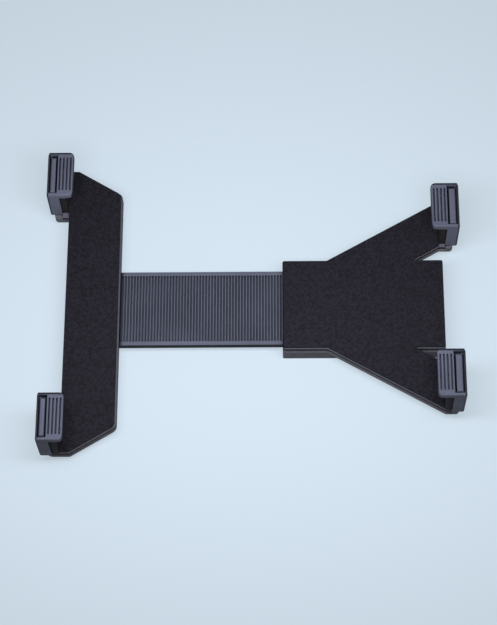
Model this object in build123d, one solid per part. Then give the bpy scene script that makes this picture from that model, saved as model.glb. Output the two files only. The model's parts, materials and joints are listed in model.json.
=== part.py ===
from build123d import *
import math
import os

# Tablet holder for a car: a fixed body with two splayed arms and a sleeve, and a
# sliding jaw on a ribbed flat rack. Four hook claws hold the tablet's long edges.
# Millimetres. The holder lies on its back: +Z points out of its face, +X runs from
# the jaw to the body's claws, and the origin is the centre of the rear bolt pattern.

# Body, seen from the front
sleeve_length = 88.0
sleeve_width = 52.2
wing_angle = 29.8         # of the arms, from the sleeve's axis
wing_reach = 6.0          # of the arms' ends past the sleeve's end
wing_tip_length = 7.3     # of the straight edge at an arm's end, on its outer side
wing_half_span = 61.9
wing_tip_margin = 1.3     # of an arm past its claw, towards the axis
wing_inner_tip_length = 7.6
arm_corner_radius = 2.0
sleeve_corner_radius = 0.8

# Body, from back to front
wing_depth = 7.6
pad_thickness = 1.5
plate_thickness = 2.3
shadow_gap_height = 2.0
shadow_gap_depth = 0.9
wall = 1.5
cover_skin = 1.0          # left in front of the latch and of the screws' holes
sleeve_floor = 2.0
latch_space = 3.9         # between the sleeve's floor and the rack's back
rim_chamfer = 0.4
shell_edge_chamfer = 0.8
back_edge_radius = 0.5
pad_margin = 0.4

# Jaw
jaw_width = 30.0
jaw_length = 167.8
jaw_depth = 7.8
jaw_set_back = 3.3        # of the jaw's face behind the body's face
jaw_plate_thickness = 1.8
jaw_gap_height = 1.0
jaw_chamfer_along = 24.5
jaw_chamfer_across = 14.9
jaw_tab_length = 7.9
jaw_tab_corner_radius = 4.5
jaw_corner_radius = 2.0
jaw_slope_radius = 4.0
jaw_closed_gap = 0.64     # left between jaw and sleeve when the jaw is pushed home

# Rack and its travel
rack_thickness = 3.9
rack_pitch = 1.64
travel_pitch_count = 54
rib_depth = 1.5
rib_crest = 0.5
rib_root = 0.24
rail_width = 2.3
guide_width = 2.5         # of the guides between the rack and the sleeve's walls
stop_shoulder_length = 3.5
stop_lug_length = 4.0
stop_lug_reach = 1.9
tail_length = 0.7
tongue_length = 24.0

# Release latch: a frame around the rack, with teeth on its front bar
pawl_teeth = 5
pawl_tooth_height = 0.75
pawl_flank_gap = 0.12
pawl_tip_gap = 0.15       # between the teeth and the ribs' crests in the released state
pawl_bar_thickness = 1.5
pawl_leg_thickness = 1.6
pawl_plate_thickness = 1.6
pawl_lock_travel = 0.8    # from the released state to teeth in mesh
mouth_guide_length = 4.5
spring_space = 0.6
spring_strip = 0.2
spring_length = 34.0
spring_width = 5.0
button_length = 18.0
button_width = 6.6
button_recess = 0.95
button_ridge_depth = 0.4
button_ridges = 3

# Claws
claw_length = 26.8
claw_height = 24.0
claw_post_thickness = 6.8
body_claw_head_width = 15.3
jaw_claw_head_width = 14.55
claw_lip_thickness = 3.8
claw_lip_taper = 0.5
claw_lip_radius = 2.7
claw_outer_radius = 1.2
claw_top_chamfer_in = 1.2
claw_top_chamfer_down = 2.6
claw_edge_radius = 1.0
claw_overhang = 2.4       # of a claw's outer face past the end of its tab
claw_seat_drop = 1.2      # of a claw's seat behind the front plate's face
body_claw_outset = 0.45   # of a claw's end past the arm's outer edge
jaw_claw_outset = 0.775   # of a claw's end past the end of the jaw
groove_count = 4
groove_pitch = 1.93
groove_width = 0.9
groove_depth = 2.0
groove_length = 20.5
groove_first = 1.65       # from the lip's edge to the first groove's centre line
pocket_set_back = 1.3     # of the pocket's edge behind the last groove's centre line
pocket_depth = 3.4
pocket_wall = 1.5
island_drop = 1.0         # of the island in the pocket, behind the claw's top
island_edge_radius = 1.2
moat_inside = 0.85        # width of the moat round the island, on the lip's side
moat_outside = 0.4
moat_end = 1.1
peg_radius = 1.2
peg_length = 2.4
peg_spacing = 16.0
cushion_thickness = 3.6
cushion_end_margin = 0.6

# Fasteners and the rear mount
mount_spacing_x = 38.1
mount_spacing_y = 30.2
mount_thread_radius = 1.65
insert_radius = 2.8
insert_length = 4.6
mount_boss_radius = 4.4
screw_head_radius = 1.7
screw_head_height = 0.8
screw_shank_radius = 0.85
screw_pilot_depth = 5.0
screw_boss_radius = 2.5
screw_drive_length = 2.04
screw_drive_width = 0.5
screw_drive_depth = 0.45
first_wing_screw = 15.5   # along X from the arms' roots
second_wing_screw = 37.0
jaw_screw_spacing_x = 13.0
jaw_screw_spacing_y = 30.0

# Clearances
running_gap = 0.3
seat_gap = 0.1
fit_gap = 0.05
cut_past = 1.0            # of a cut past the face that it opens

# Levels and places that follow from the sizes
half_sleeve = sleeve_width / 2
mouth_x = -sleeve_length / 2
end_x = sleeve_length / 2
wing_slope = math.tan(math.radians(wing_angle))
wing_end_x = end_x + wing_reach
wing_top_x = wing_end_x - wing_tip_length
wing_root_x = wing_top_x - (wing_half_span - half_sleeve) / wing_slope
channel_half = half_sleeve - wall
body_claw_centre = wing_half_span + body_claw_outset - claw_length / 2
wing_inner_edge = body_claw_centre - claw_length / 2 - wing_tip_margin
wing_inner_x = wing_end_x - wing_inner_tip_length
notch_x = wing_inner_x - (wing_inner_edge - half_sleeve) / wing_slope

rack_back_z = sleeve_floor + latch_space
rack_top_z = rack_back_z + rack_thickness
rail_z = rack_back_z - running_gap
rack_half = channel_half - guide_width - running_gap
pawl_tip_z = rack_top_z + pawl_tip_gap
pawl_bar_z = pawl_tip_z + pawl_tooth_height
pawl_bar_top_z = pawl_bar_z + pawl_bar_thickness
pocket_ceiling_z = pawl_bar_top_z + spring_space

face_z = pocket_ceiling_z + cover_skin
body_depth = face_z + pad_thickness
plate_z = face_z - plate_thickness
split_z = plate_z - shadow_gap_height
wing_back_z = body_depth - wing_depth
seat_z = face_z - claw_seat_drop

jaw_right_x = mouth_x - travel_pitch_count * rack_pitch - jaw_closed_gap
jaw_left_x = jaw_right_x - jaw_width
jaw_half = jaw_length / 2
jaw_claw_centre = jaw_half + jaw_claw_outset - claw_length / 2
jaw_pad_z = body_depth - jaw_set_back
jaw_face_z = jaw_pad_z - pad_thickness
jaw_plate_z = jaw_face_z - jaw_plate_thickness
jaw_split_z = jaw_plate_z - jaw_gap_height
jaw_back_z = jaw_pad_z - jaw_depth
jaw_floor_z = jaw_back_z + wall
jaw_seat_z = jaw_face_z - claw_seat_drop
jaw_tab_x = jaw_left_x - jaw_tab_length
tongue_z = jaw_floor_z + seat_gap
tongue_top_z = jaw_plate_z - seat_gap

pawl_length = pawl_teeth * rack_pitch
pawl_low_x = mouth_x + mouth_guide_length + running_gap
pawl_x = pawl_low_x + pawl_length / 2
pawl_high_x = pawl_low_x + pawl_length
pawl_slot = (pawl_low_x - running_gap, pawl_high_x + running_gap)
pawl_plate_z = sleeve_floor + running_gap + pawl_lock_travel
pawl_leg_y = rack_half + running_gap
pawl_outer_y = pawl_leg_y + pawl_leg_thickness

stop_x = pawl_slot[1] + stop_shoulder_length
lug_x = stop_x + running_gap
rack_end_x = lug_x + stop_lug_length + tail_length

body_claw_x = wing_end_x + claw_overhang
jaw_claw_x = jaw_tab_x - claw_overhang
body_post_x = body_claw_x - claw_post_thickness
jaw_post_x = jaw_claw_x + claw_post_thickness


def block(x_span, y_span, z_span):
    """A box between two values on each axis."""
    size = [high - low for low, high in (x_span, y_span, z_span)]
    middle = [(low + high) / 2 for low, high in (x_span, y_span, z_span)]
    return Pos(*middle) * Box(*size)


def drum(x, y, z_span, radius):
    """An upright cylinder."""
    low, high = z_span
    return Pos(x, y, (low + high) / 2) * Cylinder(radius, high - low)


def slab(face, z_span):
    """A flat face raised between two heights."""
    low, high = z_span
    return extrude(Pos(0, 0, low) * face, high - low)


def drawn_in(corners, margin):
    """The corners of a clockwise outline, drawn in from its edge all round."""
    moved = []
    for index, (x, y, radius) in enumerate(corners):
        here = Vector(x, y)
        before = Vector(*corners[index - 1][:2])
        after = Vector(*corners[(index + 1) % len(corners)][:2])
        normals = [Vector(run.Y, -run.X).normalized() for run in (here - before, after - here)]
        shift = (normals[0] + normals[1]) * (margin / (1 + normals[0].dot(normals[1])))
        moved.append((x + shift.X, y + shift.Y, max(radius - margin, 0)))
    return moved


def corner_face(corners):
    """A flat face through (x, y, radius) corners."""
    face = make_face(Polyline(*[(x, y) for x, y, radius in corners], close=True))
    for x, y, radius in corners:
        if radius > 0:
            corner = face.vertices().sort_by_distance((x, y, 0))[0]
            face = fillet(corner, radius)
    return face


def mirrored_face(upper_corners, margin=0):
    """A flat face from the clockwise corners of its upper half, mirrored in the X axis."""
    lower_corners = [(x, -y, radius) for x, y, radius in reversed(upper_corners)]
    return corner_face(drawn_in(upper_corners + lower_corners, margin))


def both_sides(solid):
    """A solid together with its mirror image in the XZ plane."""
    return solid + mirror(solid, about=Plane.XZ)


def wing_edge_y(x):
    """How far the arm's outer edge is from the axis."""
    return half_sleeve + (x - wing_root_x) * wing_slope


def body_outline(margin=0):
    """The body from the front: the sleeve and its two splayed arms."""
    return mirrored_face([
        (mouth_x, half_sleeve, sleeve_corner_radius),
        (wing_root_x, half_sleeve, 0),
        (wing_top_x, wing_half_span, arm_corner_radius),
        (wing_end_x, wing_half_span, arm_corner_radius),
        (wing_end_x, wing_inner_edge, arm_corner_radius),
        (wing_inner_x, wing_inner_edge, 0),
        (notch_x, half_sleeve, 0),
        (end_x, half_sleeve, sleeve_corner_radius),
    ], margin)


def jaw_outline(margin=0):
    """The jaw from the front: a bar with sloped inner corners and two claw tabs."""
    tab_inner_y = jaw_claw_centre - claw_length / 2 - claw_overhang
    return mirrored_face([
        (jaw_left_x, tab_inner_y, 0),
        (jaw_tab_x, tab_inner_y, jaw_corner_radius),
        (jaw_tab_x, jaw_half, jaw_tab_corner_radius),
        (jaw_right_x - jaw_chamfer_along, jaw_half, jaw_corner_radius),
        (jaw_right_x, jaw_half - jaw_chamfer_across, jaw_slope_radius),
    ], margin)


def beyond(x, towards):
    """Everything on one side of a plane across X."""
    far = 4 * (sleeve_length + jaw_length)
    span = (x, x + far) if towards > 0 else (x - far, x)
    return block(span, (-far, far), (-far, far))


def arms_beyond(x):
    """Everything past a plane across X, outside the sleeve."""
    between_y = (half_sleeve + wing_inner_edge) / 2
    sleeve_zone = block((mouth_x, wing_end_x), (-between_y, between_y), (-cut_past, body_depth + cut_past))
    return beyond(x, 1) - sleeve_zone


def screw(x, y, head_z, length):
    """A low-head screw that points to +Z, with a cross drive in its head."""
    head_top = head_z + screw_head_height
    body = drum(x, y, (head_z, head_top), screw_head_radius)
    body += drum(x, y, (head_top, head_top + length), screw_shank_radius)
    drive_z = (head_z, head_z + screw_drive_depth)
    wide = (-screw_drive_length / 2, screw_drive_length / 2)
    narrow = (-screw_drive_width / 2, screw_drive_width / 2)
    cross = block(wide, narrow, drive_z) + block(narrow, wide, drive_z)
    return body - Pos(x, y, 0) * cross


def screw_bore(x, y, back_z, top_z):
    """The sunk seat and through hole for a screw that enters from the back."""
    seat_top_z = back_z + screw_head_height + seat_gap
    seat = drum(x, y, (back_z - cut_past, seat_top_z), screw_head_radius + seat_gap)
    return seat + drum(x, y, (back_z, top_z), screw_shank_radius + seat_gap)


def wing_screws():
    """Places of the screws that close the body, two in each arm."""
    xs = [wing_root_x + along for along in (first_wing_screw, second_wing_screw)]
    return [(x, side * (half_sleeve + wing_edge_y(x)) / 2) for x in xs for side in (1, -1)]


def jaw_screw_places():
    """Places of the screws that close the jaw on the rack's tongue."""
    middle_x = jaw_right_x - tongue_length / 2
    spread = GridLocations(jaw_screw_spacing_x, jaw_screw_spacing_y, 2, 2)
    return [(middle_x + at.position.X, at.position.Y) for at in spread]


def mount_places():
    """Places of the four mount holes."""
    return [(at.position.X, at.position.Y) for at in GridLocations(mount_spacing_x, mount_spacing_y, 2, 2)]


def claw_screw_x(claw_x, inward):
    """Where a claw's screw and pegs lie: the middle of what its tab carries."""
    return claw_x + inward * (claw_overhang + claw_post_thickness) / 2


def claw_fixing_bores(claw_x, inward, centre_y, back_z, claw_seat_z):
    """Peg holes and the screw hole under one claw."""
    x = claw_screw_x(claw_x, inward)
    bores = screw_bore(x, centre_y, back_z, claw_seat_z + cut_past)
    peg_z = (claw_seat_z - peg_length - seat_gap, claw_seat_z + cut_past)
    for side in (1, -1):
        bores += drum(x, centre_y + side * peg_spacing / 2, peg_z, peg_radius + fit_gap)
    return bores


def rear_cover():
    """The body's back shell: sleeve tray, shallow arms and the seats of its claws."""
    outline = body_outline()
    sleeve = mirrored_face([
        (mouth_x, half_sleeve, sleeve_corner_radius),
        (end_x, half_sleeve, sleeve_corner_radius),
    ])
    tray = slab(sleeve, (0, split_z))
    tray = fillet(tray.faces().sort_by(Axis.Z)[0].edges(), back_edge_radius)
    tray = chamfer(tray.faces().sort_by(Axis.Z)[-1].edges(), shell_edge_chamfer)
    arms = slab(outline, (wing_back_z, split_z))
    arms = chamfer(arms.faces().sort_by(Axis.Z)[-1].edges(), shell_edge_chamfer)
    shell = tray + arms
    shell += slab(outline, (wing_back_z, seat_z)) & arms_beyond(body_post_x + seat_gap)
    channel_y = (-channel_half, channel_half)
    open_z = split_z + cut_past
    hollow = slab(body_outline(wall), (wing_back_z + wall, open_z))
    hollow -= block((mouth_x, end_x), (-half_sleeve, half_sleeve), (0, open_z))
    hollow -= arms_beyond(body_post_x - wall)
    shell -= hollow
    shell -= block((mouth_x - cut_past, end_x + cut_past), channel_y, (rail_z, open_z))
    shell -= block((mouth_x + wall, end_x - wall), channel_y, (sleeve_floor, open_z))
    floor_z = (sleeve_floor, rail_z)
    side_z = (sleeve_floor, split_z)
    rail_y = (rack_half - rail_width - running_gap, channel_half)
    guide_y = (rack_half + running_gap, channel_half)
    shell += both_sides(block((mouth_x, end_x), rail_y, floor_z))
    shell += both_sides(block((mouth_x, pawl_slot[0]), guide_y, side_z))
    shell += both_sides(block((pawl_slot[1], stop_x), guide_y, side_z))
    shell -= block(pawl_slot, channel_y, (sleeve_floor, open_z))
    for x, y in mount_places():
        shell += drum(x, y, floor_z, mount_boss_radius)
        shell -= drum(x, y, (-cut_past, insert_length + seat_gap), insert_radius + fit_gap)
    button_y = button_length / 2 + running_gap
    button_x = button_width / 2 + running_gap
    button_z = (-cut_past, sleeve_floor + cut_past)
    shell -= block((pawl_x - button_x, pawl_x + button_x), (-button_y, button_y), button_z)
    for x, y in wing_screws():
        shell += drum(x, y, (wing_back_z, split_z), screw_boss_radius)
        shell -= screw_bore(x, y, wing_back_z, open_z)
    for side in (1, -1):
        shell -= claw_fixing_bores(body_claw_x, -1, side * body_claw_centre, wing_back_z, seat_z)
    return shell


def front_cover():
    """The body's front plate, with a set-in skirt that leaves a shadow line round it."""
    plate = slab(body_outline(), (plate_z, face_z))
    plate = chamfer(plate.faces().sort_by(Axis.Z)[-1].edges(), rim_chamfer)
    skirt = slab(body_outline(shadow_gap_depth), (split_z, plate_z))
    under_z = split_z - cut_past
    skirt -= slab(body_outline(shadow_gap_depth + wall), (under_z, plate_z))
    skirt -= block((mouth_x - cut_past, end_x + cut_past), (-channel_half, channel_half), (under_z, plate_z))
    cover = plate + skirt
    header_z = (rack_top_z + running_gap, plate_z)
    header_y = (-channel_half, channel_half)
    inner_x = shadow_gap_depth
    cover += block((mouth_x + inner_x, pawl_slot[0]), header_y, header_z)
    cover += block((end_x - inner_x - wall, end_x - inner_x), header_y, header_z)
    cover -= arms_beyond(body_post_x)
    pocket_y = pawl_outer_y + running_gap
    cover -= block(pawl_slot, (-pocket_y, pocket_y), (under_z, pocket_ceiling_z))
    for x, y in wing_screws():
        cover += drum(x, y, (split_z, plate_z), screw_boss_radius)
        cover -= drum(x, y, (under_z, pocket_ceiling_z), screw_shank_radius + fit_gap)
    return cover


def body_face_pad():
    """The thin foam sheet on the body's face, up to the claws' cushions."""
    sheet = slab(body_outline(pad_margin), (face_z, body_depth))
    return sheet - arms_beyond(body_post_x - cushion_thickness - seat_gap)


def rack_profile():
    """The rack's section along its middle, with a groove at every pitch from the jaw on."""
    half_mouth = (rack_pitch - rib_crest) / 2
    half_root = rib_root / 2
    first = math.ceil((jaw_right_x - pawl_x) / rack_pitch)
    last = math.floor((stop_x - rack_pitch - pawl_x) / rack_pitch)
    root_z = rack_top_z - rib_depth
    points = [(jaw_right_x, rack_back_z), (jaw_right_x, root_z)]
    for step in range(first, last):
        groove_x = pawl_x + step * rack_pitch
        next_x = groove_x + rack_pitch
        points.append((groove_x + half_root, root_z))
        points.append((groove_x + half_mouth, rack_top_z))
        points.append((next_x - half_mouth, rack_top_z))
        points.append((next_x - half_root, root_z))
    tail_x = pawl_x + last * rack_pitch
    points.append((tail_x + half_root, root_z))
    points.append((tail_x + half_mouth, rack_top_z))
    points.append((rack_end_x, rack_top_z))
    points.append((rack_end_x, rack_back_z))
    return make_face(Plane.XZ * Polyline(*points, close=True))


def slide_rack():
    """The flat ribbed arm: rails at its edges, stop lugs at its tail, a tongue in the jaw."""
    rib_half = rack_half - rail_width
    level = (rack_back_z, rack_top_z)
    arm = extrude(rack_profile(), rib_half, both=True)
    arm += both_sides(block((jaw_right_x, rack_end_x), (rib_half, rack_half), level))
    lug_span = (lug_x, lug_x + stop_lug_length)
    arm += both_sides(block(lug_span, (rack_half, rack_half + stop_lug_reach), level))
    tongue_x = (jaw_right_x - tongue_length, jaw_right_x)
    arm += block(tongue_x, (-rack_half, rack_half), (tongue_z, tongue_top_z))
    hole_z = (tongue_z - cut_past, tongue_top_z + cut_past)
    for x, y in jaw_screw_places():
        arm -= drum(x, y, hole_z, screw_boss_radius + seat_gap)
    return arm


def pawl_frame():
    """The latch frame round the rack: toothed bar in front, plate behind, two legs."""
    length = (pawl_low_x, pawl_high_x)
    plate_top_z = pawl_plate_z + pawl_plate_thickness
    across = (-pawl_outer_y, pawl_outer_y)
    frame = block(length, across, (pawl_bar_z, pawl_bar_top_z))
    frame += block(length, across, (pawl_plate_z, plate_top_z))
    frame += both_sides(block(length, (pawl_leg_y, pawl_outer_y), (pawl_plate_z, pawl_bar_top_z)))
    half_mouth = (rack_pitch - rib_crest) / 2 - pawl_flank_gap
    half_tip = rib_root / 2
    tooth_half_length = rack_half - rail_width - running_gap
    for step in range(pawl_teeth):
        x = pawl_x + (step - (pawl_teeth - 1) / 2) * rack_pitch
        points = [(x - half_mouth, pawl_bar_z), (x - half_tip, pawl_tip_z)]
        points += [(x + half_tip, pawl_tip_z), (x + half_mouth, pawl_bar_z)]
        tooth = make_face(Plane.XZ * Polyline(*points, close=True))
        frame += extrude(tooth, tooth_half_length, both=True)
    return frame


def release_button():
    """The push button in the sleeve's back, under the latch frame's plate."""
    half_x = button_width / 2
    half_y = button_length / 2
    across = (pawl_x - half_x, pawl_x + half_x)
    cap = block(across, (-half_y, half_y), (button_recess, pawl_plate_z))
    cap = fillet(cap.edges().filter_by(Axis.Z), half_x / 2)
    ridge_z = (button_recess - cut_past, button_recess + button_ridge_depth)
    ridge_step = button_length / (button_ridges + 1)
    for index in range(button_ridges):
        y = (index - (button_ridges - 1) / 2) * ridge_step
        cap -= block(across, (y - ridge_step / 4, y + ridge_step / 4), ridge_z)
    return cap


def pawl_spring():
    """The bowed steel strip between the front cover and the latch frame."""
    low_z = pawl_bar_top_z + fit_gap
    high_z = pocket_ceiling_z - fit_gap
    half = spring_length / 2
    top = ThreePointArc((-half, low_z + spring_strip), (0, high_z), (half, low_z + spring_strip))
    under = ThreePointArc((half, low_z), (0, high_z - spring_strip), (-half, low_z))
    right = Line((half, low_z + spring_strip), (half, low_z))
    left = Line((-half, low_z), (-half, low_z + spring_strip))
    strip = make_face(Plane.YZ * (top + right + under + left))
    return Pos(pawl_x, 0, 0) * extrude(strip, spring_width / 2, both=True)


def mount_inserts():
    """Threaded brass inserts in the sleeve's back, one in each mount boss."""
    inserts = []
    for x, y in mount_places():
        body = drum(x, y, (0, insert_length), insert_radius)
        inserts.append(body - drum(x, y, (-cut_past, insert_length + cut_past), mount_thread_radius))
    return Compound(inserts)


def claw(head_width):
    """A hook claw at the origin: outer face on X = 0, seat on Z = 0, lip towards +X."""
    lip_z = claw_height - claw_lip_thickness
    half = claw_length / 2
    plan = corner_face([
        (0, -half, claw_outer_radius),
        (0, half, claw_outer_radius),
        (head_width, half, claw_lip_radius),
        (head_width, -half, claw_lip_radius),
    ])
    hook = slab(plan, (0, claw_height))
    hook = fillet(hook.faces().sort_by(Axis.Z)[-1].edges(), claw_edge_radius)
    under_lip = [
        (claw_post_thickness, -cut_past),
        (claw_post_thickness, lip_z),
        (head_width, lip_z + claw_lip_taper),
        (head_width + cut_past, lip_z + claw_lip_taper),
        (head_width + cut_past, -cut_past),
    ]
    hook -= extrude(make_face(Plane.XZ * Polyline(*under_lip, close=True)), claw_length, both=True)
    sloped_off = [
        (0, claw_height - claw_top_chamfer_down),
        (claw_top_chamfer_in, claw_height),
        (claw_top_chamfer_in, claw_height + cut_past),
        (-cut_past, claw_height + cut_past),
        (-cut_past, claw_height - claw_top_chamfer_down),
    ]
    hook -= extrude(make_face(Plane.XZ * Polyline(*sloped_off, close=True)), claw_length, both=True)
    open_z = claw_height + cut_past
    groove_x = [head_width - groove_first - index * groove_pitch for index in range(groove_count)]
    for x in groove_x:
        groove = SlotOverall(groove_length, groove_width, rotation=90)
        hook -= Pos(x, 0, 0) * slab(groove, (claw_height - groove_depth, open_z))
    pocket_x = (claw_top_chamfer_in + fit_gap, groove_x[-1] - pocket_set_back)
    pocket_end = half - pocket_wall
    floor_z = claw_height - pocket_depth
    pocket = block(pocket_x, (-pocket_end, pocket_end), (floor_z, open_z))
    island_x = (pocket_x[0] + moat_outside, pocket_x[1] - moat_inside)
    island_end = pocket_end - moat_end
    island = block(island_x, (-island_end, island_end), (floor_z, claw_height - island_drop))
    island = fillet(island.faces().sort_by(Axis.Z)[-1].edges(), island_edge_radius)
    hook -= pocket - island
    peg_x = claw_screw_x(0, 1)
    for side in (1, -1):
        hook += drum(peg_x, side * peg_spacing / 2, (-peg_length, 0), peg_radius)
    return hook - drum(peg_x, 0, (-cut_past, screw_pilot_depth), screw_shank_radius + fit_gap)


def cushion(base_z):
    """The foam block on a claw's inner face, from the plate it stands on to the lip."""
    top_z = claw_height - claw_lip_thickness - seat_gap
    half = claw_length / 2 - cushion_end_margin
    x_span = (claw_post_thickness, claw_post_thickness + cushion_thickness)
    return block(x_span, (-half, half), (base_z, top_z))


def claw_screws(claw_x, inward, centre_y, back_z, claw_seat_z):
    """The two screws that hold one end's claws."""
    x = claw_screw_x(claw_x, inward)
    head_z = back_z + seat_gap
    length = claw_seat_z + screw_pilot_depth - seat_gap - head_z - screw_head_height
    return Compound([screw(x, side * centre_y, head_z, length) for side in (1, -1)])


def jaw_base():
    """The jaw's back shell, with raised seats for its claws."""
    outline = jaw_outline()
    shell = slab(outline, (jaw_back_z, jaw_split_z))
    shell = chamfer(shell.faces().sort_by(Axis.Z)[0].edges(), rim_chamfer)
    shell += slab(outline, (jaw_split_z, jaw_seat_z)) & beyond(jaw_post_x - seat_gap, -1)
    open_z = jaw_split_z + cut_past
    hollow = slab(jaw_outline(wall), (jaw_floor_z, open_z))
    shell -= hollow - beyond(jaw_post_x + wall, -1)
    opening_y = rack_half + running_gap
    opening_x = (jaw_right_x - wall - cut_past, jaw_right_x + cut_past)
    shell -= block(opening_x, (-opening_y, opening_y), (jaw_floor_z, open_z))
    for x, y in jaw_screw_places():
        shell -= screw_bore(x, y, jaw_back_z, jaw_split_z)
    for side in (1, -1):
        shell -= claw_fixing_bores(jaw_claw_x, 1, side * jaw_claw_centre, jaw_back_z, jaw_seat_z)
    return shell


def jaw_cover():
    """The jaw's front plate, with its set-in skirt and the bosses that pin the rack."""
    plate = slab(jaw_outline(), (jaw_plate_z, jaw_face_z))
    plate = chamfer(plate.faces().sort_by(Axis.Z)[-1].edges(), rim_chamfer)
    skirt = slab(jaw_outline(shadow_gap_depth), (jaw_split_z, jaw_plate_z))
    under_z = jaw_split_z - cut_past
    skirt -= slab(jaw_outline(shadow_gap_depth + wall), (under_z, jaw_plate_z))
    opening_y = rack_half + running_gap
    opening_x = (jaw_right_x - shadow_gap_depth - wall - cut_past, jaw_right_x)
    skirt -= block(opening_x, (-opening_y, opening_y), (under_z, jaw_plate_z))
    cover = plate + skirt - beyond(jaw_post_x, -1)
    for x, y in jaw_screw_places():
        cover += drum(x, y, (jaw_floor_z + seat_gap, jaw_plate_z), screw_boss_radius)
        cover -= drum(x, y, (jaw_floor_z, jaw_face_z - cover_skin), screw_shank_radius + fit_gap)
    return cover


def jaw_face_pad():
    """The thin foam sheet on the jaw's face, up to the claws' cushions."""
    sheet = slab(jaw_outline(pad_margin), (jaw_face_z, jaw_pad_z))
    return sheet - beyond(jaw_post_x + cushion_thickness + seat_gap, -1)


def cover_screws():
    """The screws that close the body."""
    head_z = wing_back_z + seat_gap
    length = pocket_ceiling_z - seat_gap - head_z - screw_head_height
    return Compound([screw(x, y, head_z, length) for x, y in wing_screws()])


def jaw_screws():
    """The screws that close the jaw."""
    head_z = jaw_back_z + seat_gap
    length = jaw_face_z - cover_skin - seat_gap - head_z - screw_head_height
    return Compound([screw(x, y, head_z, length) for x, y in jaw_screw_places()])


nodes = {
    "rear_cover": rear_cover(),
    "front_cover": front_cover(),
    "body_face_pad": body_face_pad(),
    "cover_screws": cover_screws(),
    "mount_inserts": mount_inserts(),
    "pawl_frame": pawl_frame(),
    "pawl_spring": pawl_spring(),
    "release_button": release_button(),
    "slide_rack": slide_rack(),
    "jaw_base": jaw_base(),
    "jaw_cover": jaw_cover(),
    "jaw_face_pad": jaw_face_pad(),
    "jaw_screws": jaw_screws(),
    "body_claw_screws": claw_screws(body_claw_x, -1, body_claw_centre, wing_back_z, seat_z),
    "jaw_claw_screws": claw_screws(jaw_claw_x, 1, jaw_claw_centre, jaw_back_z, jaw_seat_z),
}

body_hook = claw(body_claw_head_width)
jaw_hook = claw(jaw_claw_head_width)
body_cushion = cushion(face_z - seat_z)
jaw_cushion = cushion(jaw_face_z - jaw_seat_z)
for name, side in (("upper", 1), ("lower", -1)):
    on_body = Pos(body_claw_x, side * body_claw_centre, seat_z) * Rot(0, 0, 180)
    on_jaw = Pos(jaw_claw_x, side * jaw_claw_centre, jaw_seat_z)
    nodes[f"body_claw_{name}"] = on_body * body_hook
    nodes[f"body_cushion_{name}"] = on_body * body_cushion
    nodes[f"jaw_claw_{name}"] = on_jaw * jaw_hook
    nodes[f"jaw_cushion_{name}"] = on_jaw * jaw_cushion

os.makedirs("parts", exist_ok=True)
for name, solid in nodes.items():
    export_step(solid, f"parts/{name}.step")
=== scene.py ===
# %% [markdown]
# A tablet holder for the car, lying on its back. It has a fixed body with two splayed arms, a
# jaw that slides out of the body on a flat ribbed rack, and four hook claws that grip the
# tablet's edges. Foam sheets line the two faces, and a foam block lines each claw.
# The rigid pieces arrive finished in the frame, so this lesson gives them their surfaces, makes
# the foam as soft-edged meshes, puts a copy in place of the leaf spring, and sets the light and the
# camera.

# %% Load the frame
import json
import math

import bmesh
import bpy
from mathutils import Matrix, Vector


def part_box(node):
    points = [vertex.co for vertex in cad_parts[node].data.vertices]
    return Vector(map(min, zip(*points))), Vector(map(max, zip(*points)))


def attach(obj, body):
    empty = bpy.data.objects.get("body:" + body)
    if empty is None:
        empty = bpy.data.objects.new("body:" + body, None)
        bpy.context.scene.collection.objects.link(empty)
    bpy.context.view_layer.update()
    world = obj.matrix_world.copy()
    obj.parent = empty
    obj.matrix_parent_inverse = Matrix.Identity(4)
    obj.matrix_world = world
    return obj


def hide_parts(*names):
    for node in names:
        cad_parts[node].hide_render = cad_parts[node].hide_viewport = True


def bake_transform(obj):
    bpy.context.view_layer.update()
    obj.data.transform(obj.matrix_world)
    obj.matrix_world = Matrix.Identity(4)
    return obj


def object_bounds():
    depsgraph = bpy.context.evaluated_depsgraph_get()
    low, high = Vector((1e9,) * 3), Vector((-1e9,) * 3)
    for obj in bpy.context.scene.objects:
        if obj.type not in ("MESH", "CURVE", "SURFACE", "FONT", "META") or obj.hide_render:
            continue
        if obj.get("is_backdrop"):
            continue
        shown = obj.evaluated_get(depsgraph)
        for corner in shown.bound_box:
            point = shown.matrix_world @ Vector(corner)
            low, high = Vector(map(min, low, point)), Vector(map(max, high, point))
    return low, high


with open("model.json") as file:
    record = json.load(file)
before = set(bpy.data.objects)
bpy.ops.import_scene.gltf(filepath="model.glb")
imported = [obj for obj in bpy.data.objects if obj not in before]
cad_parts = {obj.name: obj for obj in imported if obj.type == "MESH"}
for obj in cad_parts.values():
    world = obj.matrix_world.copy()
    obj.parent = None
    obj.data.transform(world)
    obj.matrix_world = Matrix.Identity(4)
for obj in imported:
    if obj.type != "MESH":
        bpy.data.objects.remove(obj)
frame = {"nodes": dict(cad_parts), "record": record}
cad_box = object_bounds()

millimetre = 0.001
scene = bpy.context.scene
print("pieces in the frame:", len(frame["nodes"]))
print("size in mm:", [round((high - low) / millimetre, 1) for low, high in zip(*cad_box)])

# %% [markdown]
# Camera. A product photo taken from above can be matched by eye, but a few corners whose real
# places are known fix it better: they give the tilt, the distance and the lens together. The holder
# was seen from 66 degrees above its lower long side, from about a metre away, so the lines that
# rise out of its face lean outward a little.

# %% Camera
photo_height = 625
focal_pixels = 2000.0
sensor_size = 36.0
view_tilt = math.radians(23.7)
view_turn = math.radians(-1.25)
view_roll = math.radians(-0.15)
view_distance = 1.0865
view_target = Vector((-0.06252, -0.00514, 0.0153))

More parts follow.
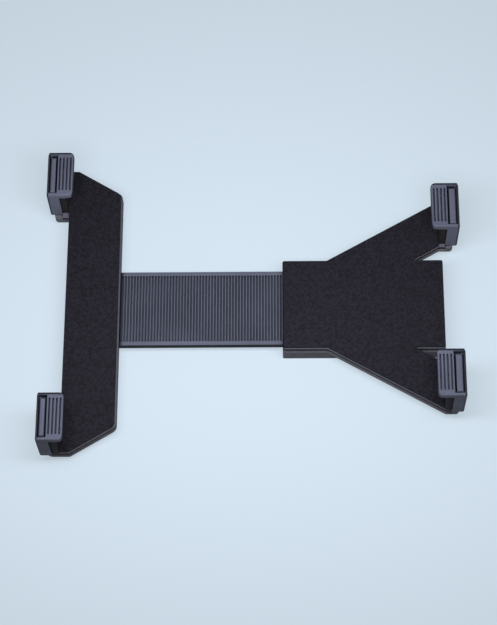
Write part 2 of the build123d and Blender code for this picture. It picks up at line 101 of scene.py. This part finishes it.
camera_data = bpy.data.cameras.new("camera")
camera_data.sensor_width = sensor_size
camera_data.lens = focal_pixels * sensor_size / photo_height
camera = bpy.data.objects.new("camera", camera_data)
scene.collection.objects.link(camera)
to_camera = (
    Matrix.Rotation(view_roll, 3, "Z")
    @ Matrix.Rotation(-view_tilt, 3, "X")
    @ Matrix.Rotation(view_turn, 3, "Y")
)
camera_turn = to_camera.transposed()
camera_place = view_target + camera_turn @ Vector((0, 0, view_distance))
camera.matrix_world = Matrix.Translation(camera_place) @ camera_turn.to_4x4()
scene.camera = camera
scene.view_settings.view_transform = "Standard"
print("camera at", [round(value, 3) for value in camera_place])
print("lens in mm:", round(camera_data.lens, 1))

# %% [markdown]
# Shader helpers. Every surface in this lesson is a node tree, and the same few nodes come back in
# all of them: sums on a value, a mix of two colours, and a soft step. They could be wired by hand
# each time, but short helpers keep each finish readable.


# %% Shader helpers
def linear(red, green, blue):
    """A screen colour from 0 to 255 as linear light."""
    channels = [value / 255 for value in (red, green, blue)]
    return [c / 12.92 if c <= 0.04045 else ((c + 0.055) / 1.055) ** 2.4 for c in channels]


def new_material(name):
    """A new material, its node tree and its surface shader."""
    material = bpy.data.materials.new(name)
    material.use_nodes = True
    shader = material.node_tree.nodes["Principled BSDF"]
    return material, material.node_tree, shader


def worked_out(tree, operation, *values):
    """The result of a Math node; each value is a socket or a number."""
    node = tree.nodes.new("ShaderNodeMath")
    node.operation = operation
    for socket, value in zip(node.inputs, values):
        if isinstance(value, float):
            socket.default_value = value
        else:
            tree.links.new(value, socket)
    return node.outputs["Value"]


def mixed(tree, share, start, end):
    """A colour from start, where the share is 0, to end; each is a list or a socket."""
    node = tree.nodes.new("ShaderNodeMix")
    node.data_type = "RGBA"
    for name, colour in (("A", start), ("B", end)):
        if isinstance(colour, list):
            node.inputs[name].default_value = (*colour, 1)
        else:
            tree.links.new(colour, node.inputs[name])
    tree.links.new(share, node.inputs["Factor"])
    return node.outputs["Result"]


def graded(tree, source, start, end):
    """A soft step from 0 where the source is at start to 1 where it is at end."""
    node = tree.nodes.new("ShaderNodeMapRange")
    node.interpolation_type = "SMOOTHSTEP"
    node.inputs["From Min"].default_value = start
    node.inputs["From Max"].default_value = end
    tree.links.new(source, node.inputs["Value"])
    return node.outputs["Result"]


print("middle grey in linear light:", [round(value, 3) for value in linear(128, 128, 128)])

# %% [markdown]
# Floor. A pale floor carries the holder and its shadow. It also throws light back, which would turn
# the dark sides of the holder grey. A darker floor would cure that but look dull, so this floor looks
# pale to the camera and in reflections, by its own glow, and is darker to the light that bounces.


# %% Floor
def floor_paint(glow_colour, glow, seen_colour, bounce_colour):
    """Matt paint that looks pale, yet throws little light back on the sides of the holder."""
    material, tree, shader = new_material("floor_paint")
    ray = tree.nodes.new("ShaderNodeLightPath")
    looked_at = ray.outputs["Is Camera Ray"]
    for kind in ("Is Glossy Ray", "Is Transmission Ray"):
        looked_at = worked_out(tree, "MAXIMUM", looked_at, ray.outputs[kind])
    tree.links.new(mixed(tree, looked_at, bounce_colour, seen_colour), shader.inputs["Base Color"])
    tree.links.new(worked_out(tree, "MULTIPLY", looked_at, glow), shader.inputs["Emission Strength"])
    shader.inputs["Emission Color"].default_value = (*glow_colour, 1)
    shader.inputs["Roughness"].default_value = floor_roughness
    shader.inputs["Specular IOR Level"].default_value = floor_sheen
    return material


floor_half = 3.0
floor_drop = 0.1 * millimetre
floor_roughness = 0.9
floor_sheen = 0.1
floor_glow = 0.6
pale_blue = linear(222, 238, 250)
seen_grey = linear(140, 150, 158)
bounce_grey = linear(84, 88, 92)

floor_mesh = bpy.data.meshes.new("floor")
corner_signs = ((-1, -1), (1, -1), (1, 1), (-1, 1))
floor_corners = [(x * floor_half, y * floor_half, -floor_drop) for x, y in corner_signs]
floor_mesh.from_pydata(floor_corners, [], [(0, 1, 2, 3)])
floor_mesh.materials.append(floor_paint(pale_blue, floor_glow, seen_grey, bounce_grey))
floor = bpy.data.objects.new("floor", floor_mesh)
scene.collection.objects.link(floor)
floor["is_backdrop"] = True
print("floor is", 2 * floor_half, "m wide")

# %% [markdown]
# Light. Black plastic is read from the few places that catch the light. In a product shot a long
# softbox hangs low over the middle: it lights the faces that look up, and those of the upper claws
# that look at it, and leaves the outer sides dark. A weak softbox on the near side and a faint sky
# keep those readable. One large lamp would be simpler, but it would flatten the ribs and grooves.


# %% Light
def softbox(name, place, aim, size, power, colour):
    """A rectangular lamp that looks at a point."""
    lamp = bpy.data.lights.new(name, "AREA")
    lamp.shape = "RECTANGLE"
    lamp.size, lamp.size_y = size
    lamp.energy = power
    lamp.color = colour
    stand = bpy.data.objects.new(name, lamp)
    stand.location = place
    stand.rotation_euler = (aim - place).to_track_quat("-Z", "Y").to_euler()
    stand.visible_camera = False
    scene.collection.objects.link(stand)


cool_white = linear(250, 252, 255)
warm_white = linear(255, 236, 220)
strip_place = Vector((-0.066, -0.075, 0.27))
strip_aim = Vector((-0.066, 0.15, 0.0))
near_place = Vector((-0.06, -1.25, 0.6))
softbox("strip_softbox", strip_place, strip_aim, size=(0.36, 0.10), power=1.0, colour=cool_white)
softbox("near_softbox", near_place, view_target, size=(0.7, 0.7), power=1.3, colour=warm_white)

sky_colour = linear(235, 242, 250)
sky_strength = 0.1
world = bpy.data.worlds.new("studio")
world.use_nodes = True
sky = world.node_tree.nodes["Background"]
sky.inputs["Color"].default_value = (*sky_colour, 1)
sky.inputs["Strength"].default_value = sky_strength
scene.world = world
print("lamps:", [lamp.name for lamp in bpy.data.lights])

# %% [markdown]
# Masks from the shape. Painted shade darkens the grooves of a moulding, some of its sides and some of
# its rims, while the covers' rims keep a lighter tone as a painted highlight. Both could be painted by
# hand, but a mask made from the shape itself stays right when the shape changes: how open a spot is,
# which way it faces, and how far along the holder it lies. Every mask is 0 where the plastic takes
# painted shade and 1 where it keeps its own tone.


# %% Masks from the shape
def part_of(tree, kind, axis):
    """One component of a piece's own place or direction."""
    place = tree.nodes.new("ShaderNodeTexCoord")
    split = tree.nodes.new("ShaderNodeSeparateXYZ")
    tree.links.new(place.outputs[kind], split.inputs["Vector"])
    return split.outputs[axis]


def openness(tree, closed, free):
    """0 where a recess closes in, 1 on a free face."""
    node = tree.nodes.new("ShaderNodeAmbientOcclusion")
    node.samples = shape_samples
    node.inputs["Distance"].default_value = recess_reach
    return graded(tree, node.outputs["AO"], closed, free)


def facing(tree, axis, start, end):
    """A soft step by how squarely the surface faces an axis, either way."""
    turned = worked_out(tree, "ABSOLUTE", part_of(tree, "Normal", axis))
    return graded(tree, turned, start, end)


def off_along(tree, place):
    """How far a spot lies from a place along the holder, either way."""
    away = worked_out(tree, "SUBTRACT", part_of(tree, "Object", "X"), place)
    return worked_out(tree, "ABSOLUTE", away)


shape_samples = 8
recess_reach = 1.5 * millimetre
mask_fade = 0.4 * millimetre
print("recesses are felt within", round(recess_reach / millimetre, 2), "mm")

# %% [markdown]
# Masks for the covers and the rack. A cover's rim, which faces up, keeps a light tone as a painted
# highlight, while its sides and its edge over the sleeve's mouth get painted shade. The rack's sides,
# which run in the sleeve, and its root at the jaw get painted shade too.


# %% Masks for the covers and the rack
def rim_highlight(tree):
    """1 on the rim of a cover, which faces up and keeps a painted highlight, and 0 on its sides, in
    painted shade.
    """
    return facing(tree, "Z", start=0.3, end=0.8)


def sleeve_mouth(tree):
    """0 on the edge of the cover over the sleeve's mouth, which gets painted shade."""
    return graded(tree, off_along(tree, mouth_x), mouth_edge, mouth_edge + mask_fade)


def rack_sides(tree):
    """0 on the sides of the rack, which get painted shade."""
    return facing(tree, "Y", start=0.9, end=0.5)


def rack_root(tree):
    """0 where the rack leaves the jaw, which gets painted shade."""
    return graded(tree, part_of(tree, "Object", "X"), jaw_side_x, jaw_side_x + root_length)


mouth_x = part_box("front_cover")[0][0]
mouth_edge = 0.4 * millimetre
jaw_side_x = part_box("jaw_cover")[1][0]
root_length = 3.0 * millimetre
print("free length of the rack in mm:", round((mouth_x - jaw_side_x) / millimetre, 1))

# %% [markdown]
# Masks for the claws. A claw's lip has grooves on its inner half and a pocket with a moat around it
# on its outer half. The lip keeps its own tone, while the claw's sides, its far end, the thin rims
# beyond the pocket and the moat get painted shade. The claws stand at both ends of the holder, so
# distance from its middle finds the outer half of all four, and the box of a claw gives its far end.


# %% Masks for the claws
def claw_sides(tree):
    """0 on the faces of a claw that look along the holder, which get painted shade."""
    return facing(tree, "X", start=0.95, end=0.5)


def claw_far_end(tree):
    """0 on the end of a claw that looks away from the near side, which gets painted shade."""
    return graded(tree, part_of(tree, "Normal", "Y"), start=0.7, end=0.2)


def claw_outer_rim(tree):
    """0 on the rim of a claw at the holder's end, which gets painted shade."""
    rim_x = half_length - outer_rim
    return graded(tree, off_along(tree, middle_x), rim_x, rim_x - mask_fade)


def claw_far_rim(tree):
    """0 on the rim at a claw's far end, which gets painted shade."""
    rim_start = 1 - far_rim / claw_width
    rim_end = 1 - (far_rim + mask_fade) / claw_width
    return graded(tree, part_of(tree, "Generated", "Y"), rim_start, rim_end)


def pocket_moat(tree):
    """0 in the moat around a claw's pocket, but for its outer side, where painted shade falls."""
    off_middle = off_along(tree, middle_x)
    inner_x = half_length - moat_inner
    outer_x = half_length - moat_outer
    share = openness(tree, closed=0.3, free=0.8)
    for start, end in ((inner_x, inner_x - mask_fade), (outer_x, outer_x + mask_fade)):
        share = worked_out(tree, "MAXIMUM", share, graded(tree, off_middle, start, end))
    return share


middle_x = (cad_box[0][0] + cad_box[1][0]) / 2
half_length = (cad_box[1][0] - cad_box[0][0]) / 2
claw_low, claw_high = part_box("body_claw_upper")
claw_width = claw_high[1] - claw_low[1]
outer_rim = 0.9 * millimetre
far_rim = 1.2 * millimetre
moat_inner = 6.6 * millimetre
moat_outer = 2.6 * millimetre
print("claws are", round(claw_width / millimetre, 1), "mm wide")

# %% [markdown]
# Noise, bump and eased edges. No real surface is even. Noise could come from pictures, but a noise
# made by the shader has no seams and stays sharp close up. It serves to shift a tone, to shift the
# gloss and, as bump, to raise a grain. A bevel in the shader eases the sharp edges of the solids.


# %% Noise, bump and eased edges
def noise(tree, scale, detail):
    """A noise texture with a number of patches to the metre."""
    place = tree.nodes.new("ShaderNodeTexCoord")
    texture = tree.nodes.new("ShaderNodeTexNoise")
    texture.inputs["Scale"].default_value = scale
    texture.inputs["Detail"].default_value = detail
    tree.links.new(place.outputs["Object"], texture.inputs["Vector"])
    return texture.outputs["Fac"]


def spread(tree, source, low, high):
    """The middle of a noise's range, stretched between two values."""
    node = tree.nodes.new("ShaderNodeMapRange")
    node.inputs["From Min"].default_value = noise_low
    node.inputs["From Max"].default_value = noise_high
    node.inputs["To Min"].default_value = low
    node.inputs["To Max"].default_value = high
    tree.links.new(source, node.inputs["Value"])
    return node.outputs["Result"]


def raised(tree, shader, height, depth):
    """Bump of a given depth in metres on a shader; returns the bump node."""
    node = tree.nodes.new("ShaderNodeBump")
    node.inputs["Strength"].default_value = 1.0
    node.inputs["Distance"].default_value = depth
    tree.links.new(height, node.inputs["Height"])
    tree.links.new(node.outputs["Normal"], shader.inputs["Normal"])
    return node


def eased_edges(tree, bump, radius):
    """Slightly rounded edges under a bump, as a mould leaves them."""
    node = tree.nodes.new("ShaderNodeBevel")
    node.samples = shape_samples
    node.inputs["Radius"].default_value = radius
    tree.links.new(node.outputs["Normal"], bump.inputs["Normal"])


noise_low = 0.3
noise_high = 0.7
print("noise is used from", noise_low, "to", noise_high)

# %% [markdown]
# Moulded plastic. The shells, claws and rack are dark grey mouldings with a fine spark-eroded grain.
# A flat colour would look like paint, so a fine noise raises the grain as bump, and a slow noise
# shifts the tone and the gloss a little, as uneven cooling does on the real mouldings. The masks and
# the recesses then add painted shade. The latch frame, inside the body, is moulded in a pale plastic
# that slides well.


# %% Moulded plastic
def moulded_plastic(slot, colour, roughness, closed, free, masks=()):
    """Moulded plastic with a fine grain, with painted shade in its recesses and where a mask says so.
    """
    material, tree, shader = new_material(f"{slot}_finish")
    patches = spread(tree, noise(tree, patch_scale, detail=2.0), 0.0, 1.0)
    dark = [value * (1 - tone_swing) for value in colour]
    light = [value * (1 + tone_swing) for value in colour]
    tone = mixed(tree, patches, dark, light)
    # Painted shade wherever a mask is 0.
    for mask, shade in masks:
        tone = mixed(tree, mask(tree), shade, tone)
    # Painted shade in the recesses, from how closed in each spot is.
    tone = mixed(tree, openness(tree, closed, free), deep_shade, tone)
    tree.links.new(tone, shader.inputs["Base Color"])
    shader.inputs["Specular IOR Level"].default_value = plastic_sheen
    gloss = noise(tree, gloss_scale, detail=3.0)
    gloss = spread(tree, gloss, roughness - gloss_swing, roughness + gloss_swing)
    tree.links.new(gloss, shader.inputs["Roughness"])
    grain = raised(tree, shader, noise(tree, grain_scale, detail=2.0), grain_depth)
    eased_edges(tree, grain, edge_ease)
    finishes[slot] = material


finishes = {}
patch_scale = 45.0
gloss_scale = 160.0
grain_scale = 2600.0
tone_swing = 0.1
gloss_swing = 0.05
plastic_sheen = 0.06
grain_depth = 0.04 * millimetre
edge_ease = 0.4 * millimetre
# Colours of painted shade: near black in recesses and moats, dark grey on the claws' shaded faces.
deep_shade = linear(16, 16, 20)
side_shade = linear(48, 49, 58)
# Painted light on the covers: a highlight on the up-facing rim, painted shade on the sides and over the
# mouth.
cover_masks = [(mask, deep_shade) for mask in (rim_highlight, sleeve_mouth)]
# Painted shade on the rack's sides and at its root beside the jaw.
rack_masks = [(mask, deep_shade) for mask in (rack_sides, rack_root)]
# Painted shade on the claws' sides, far ends, outer and far rims, and moats.
claw_masks = [(mask, side_shade) for mask in (claw_sides, claw_far_end, claw_outer_rim, claw_far_rim)]
claw_masks.append((pocket_moat, deep_shade))

shell_grey = linear(105, 103, 111)
# The covers' tone shows on their up-facing rims, lighter than their sides, as a painted highlight.
cover_highlight_grey = linear(100, 101, 112)
claw_grey = linear(102, 105, 123)
rack_grey = linear(100, 104, 120)
latch_ivory = linear(200, 197, 188)
button_grey = linear(92, 94, 104)
moulded_plastic("shell_plastic", shell_grey, roughness=0.5, closed=0.1, free=0.8)
moulded_plastic("cover_plastic", cover_highlight_grey, roughness=0.45, closed=0.1, free=0.6, masks=cover_masks)
moulded_plastic("claw_plastic", claw_grey, roughness=0.46, closed=-0.4, free=0.85, masks=claw_masks)
moulded_plastic("rack_plastic", rack_grey, roughness=0.46, closed=-0.5, free=0.8, masks=rack_masks)
moulded_plastic("latch_plastic", latch_ivory, roughness=0.4, closed=0.0, free=0.8)
moulded_plastic("button_plastic", button_grey, roughness=0.46, closed=0.0, free=0.8)
print("plastics:", list(finishes))

# %% [markdown]
# Metal. Screws, inserts and the spring strip are small, and show only from behind or in a cut.
# A brushed finish could be built from stretched streaks, but at their size a metallic shader whose
# tone and gloss are broken by fine tool marks is enough.


# %% Metal
def worked_metal(slot, colour, roughness):
    """Bare metal whose tone and gloss are broken by fine tool marks."""
    material, tree, shader = new_material(f"{slot}_finish")
    shader.inputs["Metallic"].default_value = 1.0
    marks = noise(tree, mark_scale, detail=4.0)
    dark = [value * mark_shade for value in colour]
    tone = mixed(tree, spread(tree, marks, 0.0, 1.0), dark, colour)
    tree.links.new(tone, shader.inputs["Base Color"])
    gloss = spread(tree, marks, roughness - mark_gloss, roughness + mark_gloss)
    tree.links.new(gloss, shader.inputs["Roughness"])
    finishes[slot] = material


mark_scale = 1800.0
mark_shade = 0.85
mark_gloss = 0.08
worked_metal("screw_steel", linear(92, 92, 96), roughness=0.4)
worked_metal("spring_steel", linear(185, 186, 190), roughness=0.3)
worked_metal("insert_brass", linear(205, 170, 98), roughness=0.35)
print("finishes so far:", list(finishes))

# %% [markdown]
# Foam. The faces and the claws' cushions are closed-cell foam: dull black, with a mottle of a
# millimetre or two where the skin is thinner, and pores as fine as sand. Modelled pores would be far
# too many, so a noise mixes the tone of the mottle, and a cell texture sinks the pores as bump.


# %% Foam
def closed_cell_foam(slot, dark, light):
    """Dull black foam with a mottle and fine pores."""
    material, tree, shader = new_material(f"{slot}_finish")
    mottle = spread(tree, noise(tree, mottle_scale, detail=3.0), 0.0, 1.0)
    tree.links.new(mixed(tree, mottle, dark, light), shader.inputs["Base Color"])
    shader.inputs["Roughness"].default_value = foam_roughness
    shader.inputs["Specular IOR Level"].default_value = foam_sheen
    place = tree.nodes.new("ShaderNodeTexCoord")
    pores = tree.nodes.new("ShaderNodeTexVoronoi")
    pores.inputs["Scale"].default_value = pore_scale
    tree.links.new(place.outputs["Object"], pores.inputs["Vector"])
    raised(tree, shader, pores.outputs["Distance"], pore_depth)
    finishes[slot] = material


mottle_scale = 700.0
pore_scale = 1500.0
pore_depth = 0.12 * millimetre
foam_roughness = 0.85
foam_sheen = 0.3
closed_cell_foam("face_foam", dark=linear(16, 14, 21), light=linear(40, 38, 50))
closed_cell_foam("cushion_foam", dark=linear(24, 23, 26), light=linear(36, 34, 38))
print("all finishes:", list(finishes))

# %% [markdown]
# Finish the pieces. Every piece of the frame could be given its material by name, but the record
# already says which slot each one takes, so a loop hands out the finishes.

# %% Finish the pieces
for part in frame["record"]["subparts"]:
    node = frame["nodes"][part["node"]]
    node.data.materials.clear()
    node.data.materials.append(finishes[part["material_slot"]])

# %% [markdown]
# Leaf spring. Inside the body a bowed strip of spring steel pushes the latch frame away from the
# cover. It could stay a rigid piece, but the frame would then run through it when the button is
# pressed. Here a copy of its solid takes the place of the rigid piece, with its placement baked
# into its mesh.

# %% Leaf spring
spring_mesh = frame["nodes"]["pawl_spring"].data.copy()
leaf_spring = bpy.data.objects.new("leaf_spring_strip", spring_mesh)
scene.collection.objects.link(leaf_spring)
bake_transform(leaf_spring)
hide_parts("pawl_spring")

# %% [markdown]
# Foam sheets and blocks. Foam is die-cut, so its outline is as crisp as the part under it, but the
# cut edge rolls over where the knife pressed it down. The shapes could be drawn again, yet the frame
# already holds their exact outline, so each starts as a welded copy of its plain solid, and its
# rim is then rounded with a bevel. The jaw's sheet leaves a wider rim bare beside the rack, so that
# side is first drawn in a little.


# %% Shapes of the foam
def welded_copy(node_name):
    """A copy of a node's mesh with its facets joined into whole faces."""
    shape = bmesh.new()
    shape.from_mesh(frame["nodes"][node_name].data)
    bmesh.ops.remove_doubles(shape, verts=shape.verts, dist=weld_distance)
    bmesh.ops.dissolve_limit(shape, angle_limit=flat_angle, verts=shape.verts, edges=shape.edges)
    shape.normal_update()
    return shape


def draw_in(shape, inset):
    """Moves the side that faces the other half of the holder in from the rim."""
    for corner in shape.verts:
        sides = [face.normal.x for face in corner.link_faces if abs(face.normal.z) < upright]
        corner.co.x -= inset * max(0.0, sum(sides) / len(sides))


def on_top_rim(edge):
    """Whether an edge runs between an upward face and an upright one."""
    heights = sorted(face.normal.z for face in edge.link_faces)
    return len(heights) == 2 and heights[1] > level and abs(heights[0]) < upright


def not_on_base(edge):
    """Whether an edge is clear of the face that a block stands on."""
    return all(face.normal.z > -level for face in edge.link_faces)


weld_distance = 0.001 * millimetre
flat_angle = math.radians(1)
level = 0.9
upright = 0.1
jaw_sheet = welded_copy("jaw_face_pad")
print("corners of the jaw's sheet:", len(jaw_sheet.verts))
jaw_sheet.free()


# %% Foam sheets and blocks
def foam_piece(name, node_name, body, slot, roll, is_rolled, inset=0.0):
    """A foam mesh in place of a plain solid, with the chosen edges rolled over."""
    shape = welded_copy(node_name)
    if inset:
        draw_in(shape, inset)
    edges = [edge for edge in shape.edges if is_rolled(edge)]
    bmesh.ops.bevel(
        shape,
        geom=edges,
        offset=roll,
        segments=roll_segments,
        profile=round_profile,
        affect="EDGES",
        clamp_overlap=True,
    )
    mesh = bpy.data.meshes.new(name)
    shape.to_mesh(mesh)
    shape.free()
    mesh.materials.append(finishes[slot])
    mesh.polygons.foreach_set("use_smooth", [True] * len(mesh.polygons))
    mesh.set_sharp_from_angle(angle=crease_angle)
    piece = bpy.data.objects.new(name, mesh)
    scene.collection.objects.link(piece)
    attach(piece, body)
    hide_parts(node_name)


roll_segments = 4
round_profile = 0.5
crease_angle = math.radians(40)
sheet_roll = 0.45 * millimetre
block_roll = 0.7 * millimetre
jaw_inset = 0.5 * millimetre
for half, body, inset in (("body", "holder", 0.0), ("jaw", "jaw", jaw_inset)):
    sheet = f"{half}_foam_sheet"
    foam_piece(sheet, f"{half}_face_pad", body, "face_foam", sheet_roll, on_top_rim, inset)
    for side in ("upper", "lower"):
        block = f"{half}_foam_block_{side}"
        foam_piece(block, f"{half}_cushion_{side}", body, "cushion_foam", block_roll, not_on_base)

# %% [markdown]
# Print the box of the CAD pieces and the box of the finished scene.

# %% Print the boxes
bpy.context.view_layer.update()
visual_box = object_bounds()
boxes = {"cad": [list(corner) for corner in cad_box], "visual": [list(corner) for corner in visual_box]}
for name, box in boxes.items():
    print(name, "box in mm:", [[round(value / millimetre, 1) for value in corner] for corner in box])
